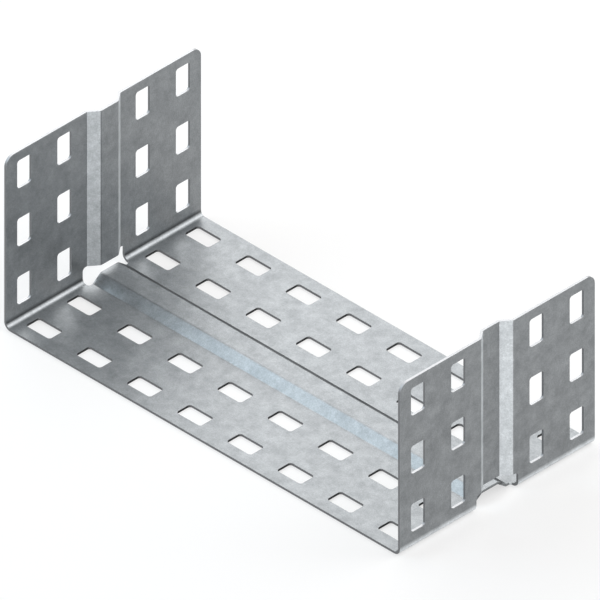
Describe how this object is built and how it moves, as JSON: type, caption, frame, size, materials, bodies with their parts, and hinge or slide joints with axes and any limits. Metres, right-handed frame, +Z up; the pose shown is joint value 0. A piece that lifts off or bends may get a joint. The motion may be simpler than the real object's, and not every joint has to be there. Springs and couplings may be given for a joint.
{
  "type": "cable tray connector",
  "caption": "Folded sheet-metal channel that joins two cable trays end to end: slotted floor and side walls, with a stiffening rib pressed inwards across the middle.",
  "frame": {"origin": "middle of the underside of the floor, at mid-length", "axes": "+X across the tray from the left wall to the right, +Y along the tray, +Z up from the floor"},
  "size_m": [0.197, 0.097, 0.0736],
  "materials": {
    "galvanised_steel": "satin"
  },
  "bodies": {
    "root": {"connector": "galvanised_steel"}
  },
  "joints": []
}
